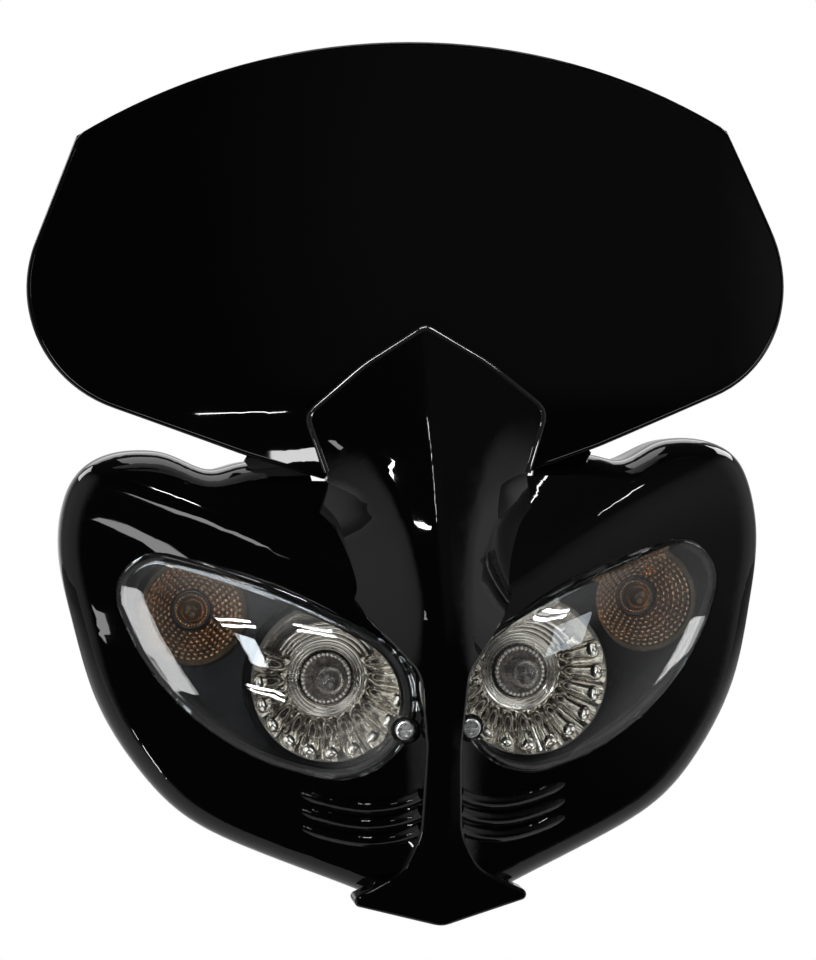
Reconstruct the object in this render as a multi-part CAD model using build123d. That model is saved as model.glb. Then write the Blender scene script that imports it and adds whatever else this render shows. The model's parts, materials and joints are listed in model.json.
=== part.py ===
from build123d import *

import math
import os

# Headlight cowl of a motorbike: a moulded mask with two clear lenses, a keel, a tab and a fly screen.
# X is to the right of someone facing the cowl, -Y is the way it faces, Z is up.
# The origin is the centre of the four rear bosses, on their end faces.

# Walls and clearances
wall = 3.0
clearance = 0.3
screen_gap = 0.2
hole_play = 0.1

# Mask: the plane of the lenses is swept back on both sides of the middle
lens_plane_y = -102.0
lens_sweep = 0.36
middle_round = 8.0
upper_curve = 0.0014
lower_curve = 0.0012
mask_bottom = -86.0
rim_radius = 9.0
flank_flare = 0.01
rim_points = [
    (64, 84),
    (75, 82.2),
    (82, 81),
    (90, 83.8),
    (100, 88.2),
    (110.5, 89.3),
    (121, 88),
    (132.5, 81.5),
    (140, 66),
    (141, 45),
    (136.5, 22),
    (127.5, -10),
    (113.5, -34.5),
    (96, -53.5),
    (71, -67),
    (48.5, -76),
    (24, mask_bottom),
]
row_starts = [
    (0, 75),
    (0.05, 63),
    (0.1, 48),
    (0.15, 33),
    (0.2, 21),
    (0.3, 6),
    (0.45, -10),
    (0.6, -29),
    (0.75, -49),
    (0.9, -69),
    (1, -82),
]
row_turn = 18.0
row_lean = 0.7
mask_rows = 40
front_columns = 21
rim_columns = 4
flank_columns = 2
reach = 400.0
bore_reach = 100.0
spill = 12.0
fine_spacing = 4.0
coarse_spacing = 5.0
trim_spacing = 8.0
mask_half_width = 142.0
mask_top = 90.0

# Brow: a crest that runs from the keel to the top of the wing, with a valley above it
brow_start = 16.0
brow_slope = 0.72
brow_bend = 0.0015
brow_height = 4.5
brow_width = 13.0
crest_radius = 2.5
valley_slope = 0.5
valley_depth = 15.0

# Foot of the nose, where the mask sweeps up to the keel
foot_low_height = 6.0
foot_high_height = 16.0
foot_low_width = 9.0
foot_high_width = 22.0
foot_change = (10.0, 70.0)

# Rear edge of the mask, as height and depth
rear_edge = [
    (-90, -36),
    (-74, -24),
    (-52, -3),
    (-28, 15),
    (-5, 20),
    (20, 19),
    (45, 6),
    (66, -13),
    (82, -27),
    (95, -33),
]

# Flange of the mask's upper edge, tucked in behind the screen
flange_outline = [(33, 70), (33, 75.2), (43.5, 75.6), (47, 92), (64, 92), (69, 84), (60, 72)]
flange_front = 0.6
flange_back = 2.7

# Chin
chin_floor_front = (24.6, -79.0, -86.2)
chin_floor_rear = (27.0, -36.0, -88.4)

# Nose: keel, tab and beak in one outline, half of it, from the tab's apex to the beak's tip
tab_apex_z = 134.0
tab_foot_z = 75.5
beak_tip_z = -95.8
nose_outline = [
    (24, 119.5, 60),
    (46.8, 100.5, 6),
    (38.6, tab_foot_z, 2),
    (42, 62, 8),
    (40, 46, 12),
    (27, 23.5, 10),
    (9.4, 3, 14),
    (6.8, -25, 60),
    (8.0, -60, 30),
    (14.5, -74, 16),
    (37, -85.6, 2.2),
]
tab_apex_radius = 4.0
beak_tip_radius = 6.0
nose_back = -58.0
nose_half = 60.0
nose_root = 2.4
wedge_depth = 20.0
crest_profile = [
    (-110, -98),
    (-95, -98.5),
    (-80, -100),
    (-62, -104.5),
    (-40, -112.5),
    (-15, -121.5),
    (10, -127),
    (30, -127),
    (52, -121.5),
    (75, -112.5),
    (98, -103.5),
    (120, -96.5),
    (134, -93),
    (150, -90),
]
crest_fall = [
    (-110, 0.1),
    (-80, 0.1),
    (-60, 0.3),
    (20, 0.36),
    (76, 0.35),
    (98, 0.27),
    (134, 0.2),
    (150, 0.2),
]
crest_round = 1.5
keel_edge = [
    (-110, 14),
    (-25, 10.5),
    (24, 9.8),
    (47, 12),
    (72, 18.4),
    (98, 27),
    (150, 46),
]
skirt_slope = [
    (-110, 0),
    (-20, 0),
    (12, 0.6),
    (30, 1.0),
    (55, 1.0),
    (66, 0.75),
    (76, 0.42),
    (98, 0.06),
    (150, 0),
]
skirt_round = 2.0
nose_edge_round = 1.4
beak_slope = 0.62
beak_front_y = -99.0

# Fly screen
screen_thickness = 3.0
screen_top = 248.0
screen_top_radius = 262.0
screen_corner = (130.4, 213.8)
screen_corner_radius = 13.0
screen_outline = [
    (167, 124.3, 50),
    (70, 86.3, 60),
    (39.5, 76.2, 4),
]
screen_front_y = -88.0
screen_belly_z = 110.0
screen_rake = 0.06
screen_bend = 0.0009
screen_tuck = 0.0085
screen_side_radius = 430.0
screen_edge_round = 1.2
screen_half = 165.0
screen_spacing = 10.0

# Lens: two end circles joined by two long arcs, seen from the front
inner_circle = (38.5, -9.0)
inner_radius = 30.0
outer_circle = (103.5, 32.5)
outer_radius = 16.5
lower_arc_radius = 98.0
upper_arc_radius = 320.0
lens_wall = 2.2
lens_rise = 11.5
lens_centre = (66.0, 9.0)
lens_long_radius = 210.0
lens_short_radius = 82.0
lens_edge_round = 4.0
lens_reach = 130.0
seat_depth = 4.0
seat_floor = 4.0
seat_wall = 2.6
seat_ledge = 4.5
seal_thickness = 1.5
seal_width = 3.6

# Lens screw and its lug
lug_centre = (12.6, -20.0)
lug_radius = 5.2
lug_proud = 1.5
lens_screw_head_radius = 3.8
lens_screw_head_height = 2.2
lens_screw_radius = 2.0
lens_screw_length = 8.0

# Gills under each lens: round ridges that come out of the keel and sink into the mask
gill_count = 3
gill_step = -6.5
gill_path = [(6.5, -44.5, 1.2), (13, -47.5, 1.2), (26, -49.5, 1.2), (40, -47.5, 1.8), (53, -43.5, 3.8)]
gill_radius = 3.0
gill_depth = 2.4

# Lamps
main_centre = (38.5, -2.0)
main_radius = 29.2
main_rim_y = -81.0
main_cone_radius = 15.0
main_cone_y = -60.5
main_neck_y = -59.0
main_neck_radius = 10.6
main_neck_wall = 4.9
main_floor_y = -50.0
indicator_centre = (89.5, 25.5)
indicator_radius = 19.4
indicator_neck_radius = 7.9
indicator_rim_y = -59.0
indicator_neck_y = -45.0
indicator_neck_wall = 3.0
indicator_floor_y = -40.0
plate_thickness = 2.5
can_wall = 2.2
can_floor = 2.5
reflector_rim = 1.6
reflector_wall = 3.0
flute_count = 20
flute_depth = 0.28
flute_smooth_angle = 62.0
flute_run = 1.15

# Headlight bulb
glass_wall = 0.8
bulb_radius = 5.5
bulb_seat_y = -60.0
bulb_tip_y = -82.0
collar_radius = 10.0
collar_front_y = -62.0
bulb_flange_radius = 20.0
bulb_flange_thickness = 2.0
base_radius = 12.0
base_length = 9.0
terminal_length = 9.0
terminal_size = (6.3, 0.8)
terminal_circle = 6.5
terminal_angles = [90, 180, 270]
boot_radius = 27.0
boot_shoulder_radius = 23.0
boot_lip_wall = 2.1
boot_lip_length = 4.0
boot_length = 13.5
boot_flange = 3.0

# Indicator bulb
amber_radius = 5.0
amber_seat_y = -44.0
amber_tip_y = -54.5
holder_radius = 7.4
holder_flange_radius = 11.0
holder_flange_thickness = 2.5
holder_length = 14.0
holder_rear_radius = 9.0

# Fasteners
head_round = 0.4
recess_length = 1.2
recess_width = 0.24
recess_depth = 0.6
housing_screw_radius = 1.5
housing_screw_head = 2.8
housing_screw_head_height = 2.0
housing_screw_length = 8.0
housing_screw_angles = [232.0, 112.5, -50.0, 40.0]
housing_boss_radius = 4.2
housing_boss_length = 11.0
housing_boss_stand = 6.5
housing_hole_depth = 6.0
screen_screw_places = [(0.0, 113.0), (-25.0, 93.0), (25.0, 93.0)]
screen_screw_radius = 2.5
screen_screw_head = 4.5
screen_screw_head_height = 3.0
screen_screw_length = 11.0
screen_boss_radius = 5.0
screen_pad_rise = 0.8
screen_pad_margin = 1.0
screen_hole_depth = 6.5
washer_radius = 7.0
washer_thickness = 1.2

# Rear bosses
boss_half_x = 55.0
boss_half_z = 54.0
boss_radius = 8.0
boss_rib = 3.0
rib_reach = 24.0
rib_end_y = -18.0
rib_shoulder = 1.0
insert_radius = 4.3
insert_length = 12.0
insert_bore = 2.5


# Formulas


def ramp(value, low, high):
    """0 below low, 1 above high and a smooth step between."""
    share = min(1.0, max(0.0, (value - low) / (high - low)))
    return share * share * (3 - 2 * share)


def through(stations, at):
    """A smooth curve through stations of (place, value), read at one place."""
    last = len(stations) - 1
    i = 0
    while i < last - 1 and stations[i + 1][0] < at:
        i += 1
    (a, low), (b, high) = stations[i], stations[i + 1]
    before = stations[max(i - 1, 0)]
    after = stations[min(i + 2, last)]
    slope_a = (high - before[1]) / (b - before[0])
    slope_b = (after[1] - low) / (after[0] - a)
    span = b - a
    t = (at - a) / span
    return (
        low * (2 * t**3 - 3 * t**2 + 1)
        + high * (3 * t**2 - 2 * t**3)
        + span * slope_a * (t**3 - 2 * t**2 + t)
        + span * slope_b * (t**3 - t**2)
    )


def soft(value, radius):
    """The size of a value, with a round bottom instead of a corner at zero."""
    return math.hypot(value, radius) - radius


def lens_plane(x):
    return lens_plane_y + lens_sweep * abs(x)


def mask_y(x, z):
    """Depth of the mask's front, without its rolled rim."""
    x = abs(x)
    curve = upper_curve if z > 0 else lower_curve
    base = lens_plane_y + lens_sweep * soft(x, middle_round) + curve * z * z
    above = (z - brow_start - brow_slope * x + brow_bend * x * x) / math.hypot(1, brow_slope)
    crest = -brow_height * math.exp(-((min(above, 0) / brow_width) ** 2))
    climb = (above + math.hypot(above, crest_radius)) / 2
    valley = valley_depth * math.tanh(valley_slope * climb / valley_depth)
    rise = ramp(z, *foot_change)
    foot_height = foot_low_height + (foot_high_height - foot_low_height) * rise
    foot_width = foot_low_width + (foot_high_width - foot_low_width) * rise
    foot = -foot_height * math.exp(-((x / foot_width) ** 2))
    return base + crest + valley + foot


def nose_y(x, z):
    """Depth of the keel, tab and beak, with a skirt that falls away steeply on each side of the keel."""
    past = abs(x) - through(keel_edge, z)
    skirt = through(skirt_slope, z) * (past + math.hypot(past, skirt_round)) / 2
    return through(crest_profile, z) + through(crest_fall, z) * soft(x, crest_round) + skirt


def screen_y(x, z):
    """Depth of the screen's front."""
    up = z - screen_belly_z
    lean = screen_rake * up + screen_bend * up * up if up > 0 else screen_tuck * up * up
    return screen_front_y + lean + x * x / (2 * screen_side_radius)


# Helpers


def prism(outline, front, back):
    """A flat outline, drawn as X and Z, made into a bar from front to back along Y."""
    return extrude(Plane.XZ.offset(-back) * outline, back - front)


def rod(centre, radius, front, back):
    """A round bar along Y."""
    return prism(Pos(*centre) * Circle(radius), front, back)


def turned(centre, outline):
    """A body of revolution about a line along Y. The outline is given as pairs of radius and Y."""
    section = make_face(Polyline(*outline, close=True))
    return Pos(centre[0], 0, centre[1]) * revolve(section, Axis.Y)


def curved_face(rows):
    """A smooth face through rows of points."""
    return Face.make_surface_from_array_of_points(rows, tol=0.01, smoothing=(1.0, 0.2, 0.05), max_deg=5)


def sheet(depth, x_range, z_range, spacing):
    """A curved face from a depth formula."""
    columns = math.ceil((x_range[1] - x_range[0]) / spacing)
    lines = math.ceil((z_range[1] - z_range[0]) / spacing)
    rows = []
    for i in range(lines + 1):
        z = z_range[0] + (z_range[1] - z_range[0]) * i / lines
        row = []
        for j in range(columns + 1):
            x = x_range[0] + (x_range[1] - x_range[0]) * j / columns
            row.append((x, depth(x, z), z))
        rows.append(row)
    return curved_face(rows)


def behind(face, shift=0.0):
    """Everything behind a curved face that is first moved along Y."""
    return Solid.extrude(Pos(0, shift, 0) * face, Vector(0, reach, 0))


def on_face(part, depth):
    """The edges of a part that lie on a surface given by its depth formula."""
    return [e for e in part.edges() if abs((e @ 0.5).Y - depth((e @ 0.5).X, (e @ 0.5).Z)) < clearance]


def lens_side(shift, front):
    """A large block in front of, or behind, a plane like the right lens's plane, moved back by a shift."""
    grip = Align.MAX if front else Align.MIN
    block = Box(reach, reach, reach, align=(Align.CENTER, grip, Align.CENTER))
    return Pos(0, lens_plane_y + shift, 0) * Rot(0, 0, math.degrees(math.atan(lens_sweep))) * block


def slab(outline, front, back):
    """An outline cut between two planes like the right lens's plane."""
    return prism(outline, -reach / 2, reach / 2) & lens_side(back, True) & lens_side(front, False)


def single(part):
    """The one solid of a part that has to be in one piece."""
    solids = part.solids()
    if len(solids) != 1:
        raise ValueError(f"{len(solids)} solids where one is wanted")
    return solids[0]


def mirrored(part):
    return mirror(part, about=Plane.YZ)


# Outlines


def arc_centre(radius, side):
    """Centre of a long arc that both end circles of the lens touch from the inside."""
    a = Vector(*inner_circle)
    line = Vector(*outer_circle) - a
    span = line.length
    near = radius - inner_radius
    far = radius - outer_radius
    along = (near**2 - far**2 + span**2) / (2 * span)
    across = math.sqrt(near**2 - along**2)
    unit = line / span
    return a + unit * along + Vector(-unit.Y, unit.X) * across * side


def lens_outline(offset):
    """The lens's outline, larger all round by an offset."""
    inner = Vector(*inner_circle)
    outer = Vector(*outer_circle)
    low = arc_centre(lower_arc_radius, 1)
    high = arc_centre(upper_arc_radius, -1)

    def touch(centre, radius, circle):
        return centre + (circle - centre).normalized() * (radius + offset)

    def middle(centre, radius):
        ways = (inner - centre).normalized() + (outer - centre).normalized()
        return centre + ways.normalized() * (radius + offset)

    axis = (outer - inner).normalized()
    inner_low = touch(low, lower_arc_radius, inner)
    outer_low = touch(low, lower_arc_radius, outer)
    inner_high = touch(high, upper_arc_radius, inner)
    outer_high = touch(high, upper_arc_radius, outer)
    return make_face(
        [
            ThreePointArc(inner_low, middle(low, lower_arc_radius), outer_low),
            ThreePointArc(outer_low, outer + axis * (outer_radius + offset), outer_high),
            ThreePointArc(outer_high, middle(high, upper_arc_radius), inner_high),
            ThreePointArc(inner_high, inner - axis * (inner_radius + offset), inner_low),
        ]
    )


def lens_footprint(offset):
    """The lens's outline with the lug of its screw."""
    return lens_outline(offset) + Pos(*lug_centre) * Circle(lug_radius + offset)


def mirrored_outline(top, side, bottom):
    """A closed outline, the same on both sides, from points with the radius of each corner."""
    right = [top] + side + [bottom]
    left = [(-x, z, radius) for x, z, radius in reversed(side)]
    corners = right + left
    line = FilletPolyline(*[(x, z) for x, z, _ in corners], radius=[r for _, _, r in corners], close=True)
    return make_face(line)


def nose_face():
    return mirrored_outline((0, tab_apex_z, tab_apex_radius), nose_outline, (0, beak_tip_z, beak_tip_radius))


def screen_face():
    """The screen's outline: one arc along the top, rounded corners elsewhere."""
    x, z = screen_corner
    side = [(x, z, screen_corner_radius)] + screen_outline
    top = screen_top + screen_top_radius
    lower = mirrored_outline((0, top, 0), side, (0, screen_outline[-1][1], 0))
    return lower & (Pos(0, screen_top - screen_top_radius) * Circle(screen_top_radius))


# Mask


def mask_row(share, rim):
    """One row of points: over the front, round the rim and back along the flank."""
    edge = rim @ share
    way = rim % share
    start = Vector(0, through(row_starts, share))
    square = Vector(-way.Y, way.X).normalized()
    out = (square + (edge - start).normalized() * row_lean).normalized()
    turn_in = edge - out * rim_radius
    run = turn_in - start
    row = []
    for j in range(-1, front_columns):
        t = j / front_columns
        spot = start + run * (t + t**2 - t**3) + out * row_turn * (t**3 - t**2)
        row.append(Vector(spot.X, mask_y(spot.X, spot.Y), spot.Y))
    for j in range(rim_columns + 1):
        turn = math.radians(90) * j / rim_columns
        spot = turn_in + out * rim_radius * math.sin(turn)
        row.append(Vector(spot.X, mask_y(spot.X, spot.Y) + rim_radius * (1 - math.cos(turn)), spot.Y))
    corner = row[-1]
    for j in range(1, flank_columns + 1):
        back = (through(rear_edge, edge.Y) - corner.Y) * j / flank_columns
        row.append(corner + Vector(out.X * flank_flare, 1, out.Y * flank_flare) * back)
    return row


def mask_grid():
    """Rows of points on the right half, from the upper edge down to the chin."""
    rim = Spline(*rim_points)
    return [mask_row(i / (mask_rows - 1), rim) for i in range(mask_rows)]


def inward(rows, distance):
    """The same rows moved along the surface's own normals."""
    last_row = len(rows) - 1
    last_column = len(rows[0]) - 1
    moved = []
    for i, row in enumerate(rows):
        line = []
        for j, point in enumerate(row):
            down = rows[min(i + 1, last_row)][j] - rows[max(i - 1, 0)][j]
            across = row[min(j + 1, last_column)] - row[max(j - 1, 0)]
            line.append(point + across.cross(down).normalized() * distance)
        moved.append(line)
    return moved


def borders(face):
    """The four edges of a skin: upper, lower, middle and rear."""
    edges = face.edges()
    return [
        max(edges, key=lambda e: (e @ 0.5).Z),
        min(edges, key=lambda e: (e @ 0.5).Z),
        min(edges, key=lambda e: (e @ 0.5).X),
        max(edges, key=lambda e: (e @ 0.5).Y),
    ]


def mask_half():
    """The right half of the mask's wall."""
    rows = mask_grid()
    outer = curved_face(rows)
    inner = curved_face(inward(rows, wall))
    sides = [Face.make_surface_from_curves(a, b) for a, b in zip(borders(outer), borders(inner))]
    whole = Solid(Shell([outer, inner] + sides))
    return whole & Box(reach, 2 * reach, 2 * reach, align=(Align.MIN, Align.CENTER, Align.CENTER))


def gills():
    """The ridges below the lens, swept along curves that lie under the mask's front."""
    ridges = []
    for i in range(gill_count):
        spots = [(x, z + gill_step * i, sink) for x, z, sink in gill_path]
        path = Spline(*[(x, mask_y(x, z) + sink, z) for x, z, sink in spots])
        ridges.append(sweep(Plane(origin=path @ 0, z_dir=path % 0) * Circle(gill_radius), path=path))
    return ridges


def housing_screw_places():
    """Where the lamp housing is screwed on, round the outside of the lens's seat."""
    inner = Vector(*inner_circle)
    outer = Vector(*outer_circle)
    circles = [
        (inner, inner_radius),
        (arc_centre(upper_arc_radius, -1), upper_arc_radius),
        (arc_centre(lower_arc_radius, 1), lower_arc_radius),
        (outer, outer_radius),
    ]
    places = []
    for (centre, radius), angle in zip(circles, housing_screw_angles):
        way = Vector(math.cos(math.radians(angle)), math.sin(math.radians(angle)))
        places.append(centre + way * (radius + housing_boss_stand))
    return places


def on_lens_plane(place, shift):
    """A plane that lies like the right lens's plane at a place, facing back."""
    return Plane(
        origin=(place.X, lens_plane(place.X) + shift, place.Y),
        x_dir=(1, lens_sweep, 0),
        z_dir=(-lens_sweep, 1, 0),
    )


def pin(plane, radius, length):
    """A round bar that stands on a plane. A negative length goes the other way."""
    grip = Align.MIN if length > 0 else Align.MAX
    return plane * Cylinder(radius, abs(length), align=(Align.CENTER, Align.CENTER, grip))


def rear_boss(z):
    """One rear boss with its rib, still too long at the front."""
    boss = rod((boss_half_x, z), boss_radius, -reach / 2, 0)
    rib = make_face(
        Polyline(
            (boss_half_x, rib_end_y),
            (boss_half_x + boss_radius + rib_shoulder, rib_end_y),
            (boss_half_x + rib_reach, -reach / 2),
            (boss_half_x, -reach / 2),
            close=True,
        )
    )
    return boss + extrude(Plane.XY.offset(z) * rib, boss_rib / 2, both=True)


def upper_flange(front):
    """The strip that carries the mask's upper edge on behind the screen."""
    strip = make_face(Polyline(*flange_outline, close=True))
    return prism(strip, -reach / 2, 0) & (behind(front, flange_front) - behind(front, flange_back))


def lens_seat_back():
    return seat_depth + seat_floor


def cowl_half(front):
    """The right half of the mask with its lens seat, gills and bosses."""
    half = mask_half()
    within_wall = behind(front, wall / 2)
    for gill in gills():
        half += gill - behind(front, gill_depth)
    half += upper_flange(front)
    seat = prism(lens_footprint(clearance + seat_wall), -reach / 2, reach / 2)
    half += seat & lens_side(lens_seat_back(), True) & within_wall
    for place in housing_screw_places():
        stand = pin(on_lens_plane(place, lens_seat_back()), housing_boss_radius, -housing_boss_length)
        half += stand & within_wall
    for z in (boss_half_z, -boss_half_z):
        half += rear_boss(z) & within_wall
    half -= prism(lens_footprint(clearance), -reach / 2, reach / 2) & lens_side(seat_depth, True)
    half -= prism(seat_opening(0), -reach / 2, 0) & lens_side(lens_seat_back() + wall, True)
    half -= rod(lug_centre, lens_screw_radius + hole_play, -reach / 2, lens_screw_tip() + hole_play)
    for place in housing_screw_places():
        seat_plane = on_lens_plane(place, lens_seat_back())
        half -= pin(seat_plane, housing_screw_radius + hole_play, -housing_hole_depth)
    for z in (boss_half_z, -boss_half_z):
        half -= rod((boss_half_x, z), insert_radius + hole_play, -insert_length, 0)
    return half


def seat_opening(play):
    """The opening behind the lens, smaller all round by a play, with the lug's pad left standing."""
    return lens_outline(-seat_ledge - play) - Pos(*lug_centre) * Circle(lug_radius + play)


def chin_floor():
    """The short floor between the two chin walls, above the beak."""
    ends = []
    for half_width, y, z in (chin_floor_front, chin_floor_rear):
        ends.append(Plane.XZ.offset(-y) * Pos(0, z + wall / 2) * Rectangle(2 * half_width, wall))
    return loft(ends)


def lug_front():
    return lens_plane(lug_centre[0]) - lug_proud


def lens_screw_tip():
    return lug_front() + lens_screw_length


def screen_plane(place, shift):
    """A plane on the screen's front at a place, facing back, moved back by a shift."""
    x, z = place
    step = 0.01
    slope_x = (screen_y(x + step, z) - screen_y(x - step, z)) / (2 * step)
    slope_z = (screen_y(x, z + step) - screen_y(x, z - step)) / (2 * step)
    flat = Plane(origin=(x, screen_y(x, z), z), x_dir=(1, slope_x, 0), z_dir=(-slope_x, 1, -slope_z))
    return flat.offset(shift)


def above(z):
    """Everything above a height."""
    return Pos(0, 0, z) * Box(2 * reach, 2 * reach, reach, align=(Align.CENTER, Align.CENTER, Align.MIN))


def beak_wedge(lift):
    """What is cut away under the beak, moved up by a lift."""
    rise = beak_slope * (nose_back - beak_front_y)
    corners = [
        (beak_front_y, beak_tip_z - wedge_depth),
        (beak_front_y, beak_tip_z),
        (nose_back, beak_tip_z + rise),
        (nose_back, beak_tip_z - wedge_depth),
    ]
    wedge = make_face(Polyline(*[(y, z + lift) for y, z in corners], close=True))
    return extrude(Plane.YZ * wedge, reach, both=True)


def nose(screen):
    """Keel, tab and beak: the outer body and the hollow inside it."""
    shape = sheet(nose_y, (-nose_half, nose_half), (beak_tip_z - spill, tab_apex_z + spill), fine_spacing)
    body = prism(nose_face(), -reach / 2, nose_back) & behind(shape)
    body = fillet(on_face(body, nose_y), nose_edge_round)
    middle = sheet(mask_y, (-nose_half, nose_half), (beak_tip_z - spill, tab_foot_z + spill), fine_spacing)
    body -= behind(middle, nose_root) - above(tab_foot_z)
    body -= behind(screen, -screen_gap) & above(tab_foot_z)
    body -= beak_wedge(0)
    inside = offset(nose_face(), amount=-wall, kind=Kind.INTERSECTION)
    hollow = prism(inside, -reach / 2, nose_back) & behind(shape, wall)
    hollow -= beak_wedge(wall)
    for place in screen_screw_places:
        hollow -= pin(screen_plane(place, 0), screen_boss_radius, -bore_reach)
    return body, hollow


def cowl_shell(screen):
    front = sheet(mask_y, (0, mask_half_width), (mask_bottom - spill, mask_top + spill), trim_spacing)
    half = cowl_half(front)
    body, hollow = nose(screen)
    shell = half + mirrored(half) + chin_floor() + body - hollow
    for place in screen_screw_places:
        shell -= pin(screen_plane(place, 0), screen_screw_radius + hole_play, -screen_hole_depth)
    return shell


# Screen


def fly_screen(screen):
    sheet_body = prism(screen_face(), -reach / 2, 0) & (behind(screen) - behind(screen, screen_thickness))
    sheet_body = fillet(on_face(sheet_body, screen_y), screen_edge_round)
    for place in screen_screw_places:
        pad = pin(screen_plane(place, screen_pad_back()), washer_radius + screen_pad_margin, -screen_thickness)
        sheet_body += pad
    for place in screen_screw_places:
        sheet_body -= pin(screen_plane(place, screen_pad_back()), screen_screw_radius + hole_play, -bore_reach)
    return sheet_body


def screen_pad_back():
    return screen_thickness + screen_pad_rise


# Lens and seal


def lens_y(x, z):
    """Depth of the lens's front: bulged the long way and, more, the short way."""
    axis = (Vector(*outer_circle) - Vector(*inner_circle)).normalized()
    away = Vector(x, z) - Vector(*lens_centre)
    along = away.dot(axis)
    across = away.cross(axis).Z
    bulge = along**2 / (2 * lens_long_radius) + across**2 / (2 * lens_short_radius)
    return lens_plane(x) - lens_rise + bulge


def lens():
    face = sheet(lens_y, (0, lens_reach), (-lens_reach / 2, lens_reach / 2), coarse_spacing)
    base = lens_side(seat_depth - seal_thickness, True)
    body = prism(lens_outline(0), -reach / 2, reach / 2) & behind(face) & base
    body = fillet(on_face(body, lens_y), lens_edge_round)
    body += rod(lug_centre, lug_radius, lug_front(), reach / 2) & base
    cavity = prism(lens_outline(-lens_wall), -reach / 2, reach / 2) & behind(face, lens_wall)
    cavity -= rod(lug_centre, lug_radius, -reach / 2, reach / 2)
    body -= cavity
    body -= rod(lug_centre, lug_radius, -reach / 2, lug_front())
    body -= rod(lug_centre, lens_screw_radius + hole_play, -reach / 2, reach / 2)
    return body


def lens_seal():
    ring = lens_footprint(0) - (lens_outline(-seal_width) - Pos(*lug_centre) * Circle(lug_radius))
    ring -= Pos(*lug_centre) * Circle(lens_screw_radius + hole_play)
    return slab(ring, seat_depth - seal_thickness, seat_depth)


# Lamps


def lamp_room():
    """Room for the lamps: behind the lens's seat, and through its opening."""
    return prism(seat_opening(clearance), -reach / 2, reach / 2) + lens_side(lens_seat_back() + clearance, False)


def can_radius(bright_radius):
    return bright_radius + reflector_rim + clearance


def lamp_housing():
    outline = lens_outline(clearance + seat_wall)
    for place in housing_screw_places():
        outline += Pos(place.X, place.Y) * Circle(housing_boss_radius)
    lamps = [
        (main_centre, main_radius, main_rim_y, main_floor_y, main_neck_radius - clearance),
        (indicator_centre, indicator_radius, indicator_rim_y, indicator_floor_y, holder_radius + clearance),
    ]
    body = slab(outline, lens_seat_back(), lens_seat_back() + plate_thickness)
    room = lamp_room()
    for centre, bright, rim_y, floor_y, _ in lamps:
        can = rod(centre, can_radius(bright) + can_wall, rim_y, floor_y + can_floor)
        back = rod(centre, can_radius(bright) + can_wall, -reach / 2, floor_y + can_floor)
        body += can & room
        body += back & lens_side(lens_seat_back() + clearance, False)
    for centre, bright, _, floor_y, hole in lamps:
        body -= rod(centre, can_radius(bright), -reach / 2, floor_y)
        body -= rod(centre, hole, -reach / 2, reach / 2)
    for place in housing_screw_places():
        seat_plane = on_lens_plane(place, lens_seat_back())
        body -= pin(seat_plane, housing_screw_radius + hole_play, 2 * plate_thickness)
    return body


def flute_cutters():
    """Cones that scoop the flutes out of the main reflector, all round but for its smooth top."""
    line = Vector(main_radius - main_cone_radius, main_rim_y - main_cone_y)
    inward_way = Vector(line.Y, -line.X).normalized()
    half_pitch = math.pi / flute_count
    scoop = (1 + flute_depth**2) / (2 * flute_depth)
    ends = []
    for share in (0, flute_run):
        spot = Vector(main_cone_radius, main_cone_y) + line * share
        width = spot.X * half_pitch
        ends.append((spot + inward_way * (scoop - flute_depth) * width, scoop * width))
    (low, low_radius), (high, high_radius) = ends
    cutters = []
    for i in range(flute_count):
        angle = 360 * i / flute_count
        if min(angle, 360 - angle) < flute_smooth_angle:
            continue
        base = Plane(origin=(0, low.Y, low.X), z_dir=(0, high.Y - low.Y, high.X - low.X))
        grip = (Align.CENTER, Align.CENTER, Align.MIN)
        cone = Cone(low_radius, high_radius, (high - low).length, align=grip)
        cutters.append(Pos(main_centre[0], 0, main_centre[1]) * Rot(0, angle, 0) * (base * cone))
    return cutters


def main_reflector():
    outline = [
        (main_neck_radius, main_floor_y),
        (main_neck_radius + main_neck_wall, main_floor_y),
        (main_neck_radius + main_neck_wall, main_cone_y + reflector_wall),
        (main_radius + reflector_rim, main_rim_y + reflector_wall),
        (main_radius + reflector_rim, main_rim_y),
        (main_radius, main_rim_y),
        (main_cone_radius, main_cone_y),
        (main_neck_radius, main_neck_y),
    ]
    bowl = turned(main_centre, outline)
    for cutter in flute_cutters():
        bowl -= cutter
    return bowl & lamp_room()


def indicator_reflector():
    outline = [
        (indicator_neck_radius, indicator_floor_y),
        (indicator_neck_radius + indicator_neck_wall, indicator_floor_y),
        (indicator_neck_radius + indicator_neck_wall, indicator_neck_y + reflector_wall / 2),
        (indicator_radius + reflector_rim, indicator_rim_y + reflector_wall),
        (indicator_radius + reflector_rim, indicator_rim_y),
        (indicator_radius, indicator_rim_y),
        (indicator_neck_radius, indicator_neck_y),
    ]
    return turned(indicator_centre, outline) & lamp_room()


# Bulbs


def capsule(centre, radius, tip_y, base_y):
    """A round-nosed bar along Y."""
    ball_y = tip_y + radius
    return rod(centre, radius, ball_y, base_y) + Pos(centre[0], ball_y, centre[1]) * Sphere(radius)


def glass(centre, radius, tip_y, base_y):
    """The glass of a bulb, open where it stands on its base."""
    room = capsule(centre, radius - glass_wall, tip_y + glass_wall, base_y)
    return capsule(centre, radius, tip_y, base_y) - room


def headlight_bulb():
    return glass(main_centre, bulb_radius, bulb_tip_y, bulb_seat_y)


def main_can_back():
    return main_floor_y + can_floor


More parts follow.
